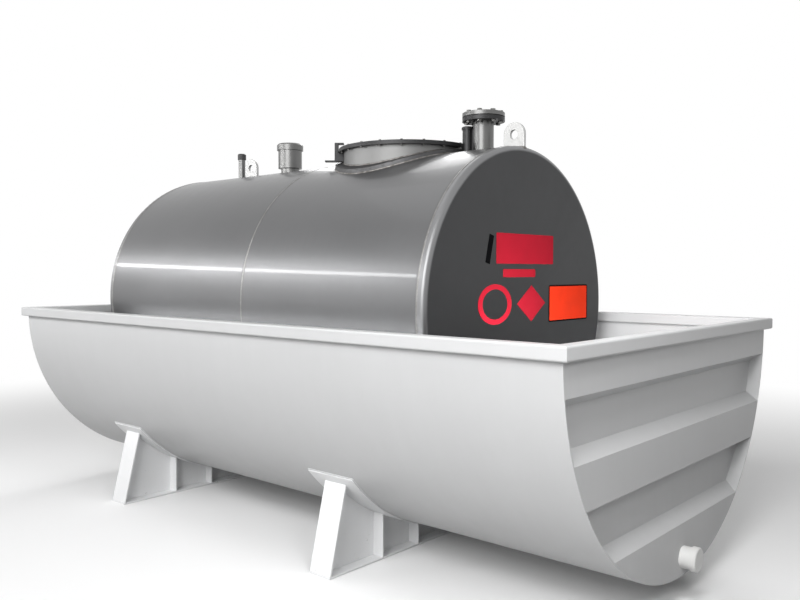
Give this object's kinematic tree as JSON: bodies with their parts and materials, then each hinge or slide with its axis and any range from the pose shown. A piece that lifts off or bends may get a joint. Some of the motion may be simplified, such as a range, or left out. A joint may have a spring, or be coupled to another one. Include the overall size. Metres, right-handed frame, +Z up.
{
  "type": "stainless steel storage tank in a containment trough",
  "caption": "Horizontal stainless steel cylinder tank with manhole, flanged fill pipe and capped stubs, in an open half-round steel containment trough on two cradles.",
  "frame": {"origin": "ground level under the middle of the whole object's box", "axes": "+X along the tank towards its front end and the trough's drain, +Z up"},
  "size_m": [4.393, 2.32, 2.424],
  "materials": {
    "tank_steel": "cold rolled stainless sheet, mid grey with a soft sheen",
    "end_steel": "darker satin stainless sheet",
    "fitting_steel": "bright pickled stainless tube and plate",
    "bolt_steel": "stainless bolts",
    "black_plastic": "black moulded cap",
    "trough_paint": "off-white paint on steel sheet"
  },
  "bodies": {
    "root": {"back_cradle_base": "trough_paint", "back_cradle_pad": "trough_paint", "back_cradle_side_plates": "trough_paint", "back_cradle_stiffeners": "trough_paint", "back_cradle_web": "trough_paint", "back_saddle_base": "tank_steel", "back_saddle_pad": "tank_steel", "back_saddle_ribs": "tank_steel", "back_saddle_web": "tank_steel", "dip_cap": "fitting_steel", "dip_pipe": "fitting_steel", "drain_cap": "trough_paint", "drain_nozzle": "trough_paint", "fill_blind_flange": "fitting_steel", "fill_flange": "fitting_steel", "fill_flange_bolts": "bolt_steel", "fill_pipe": "fitting_steel", "front_cradle_base": "trough_paint", "front_cradle_pad": "trough_paint", "front_cradle_side_plates": "trough_paint", "front_cradle_stiffeners": "trough_paint", "front_cradle_web": "trough_paint", "front_saddle_base": "tank_steel", "front_saddle_pad": "tank_steel", "front_saddle_ribs": "tank_steel", "front_saddle_web": "tank_steel", "gauge_cap": "black_plastic", "gauge_socket": "fitting_steel", "lifting_lug_back": "fitting_steel", "lifting_lug_front": "fitting_steel", "manhole_bracket": "fitting_steel", "manhole_cover": "fitting_steel", "manhole_flange": "fitting_steel", "manhole_neck": "fitting_steel", "manhole_pad": "tank_steel", "rim_back": "trough_paint", "rim_front": "trough_paint", "rim_left": "trough_paint", "rim_right": "trough_paint", "tank_end_back": "end_steel", "tank_end_front": "end_steel", "tank_shell": "tank_steel", "trough_end_back": "trough_paint", "trough_end_front": "trough_paint", "trough_shell": "trough_paint", "vent_body": "fitting_steel", "vent_cap": "fitting_steel", "vent_neck": "fitting_steel"}
  },
  "joints": []
}
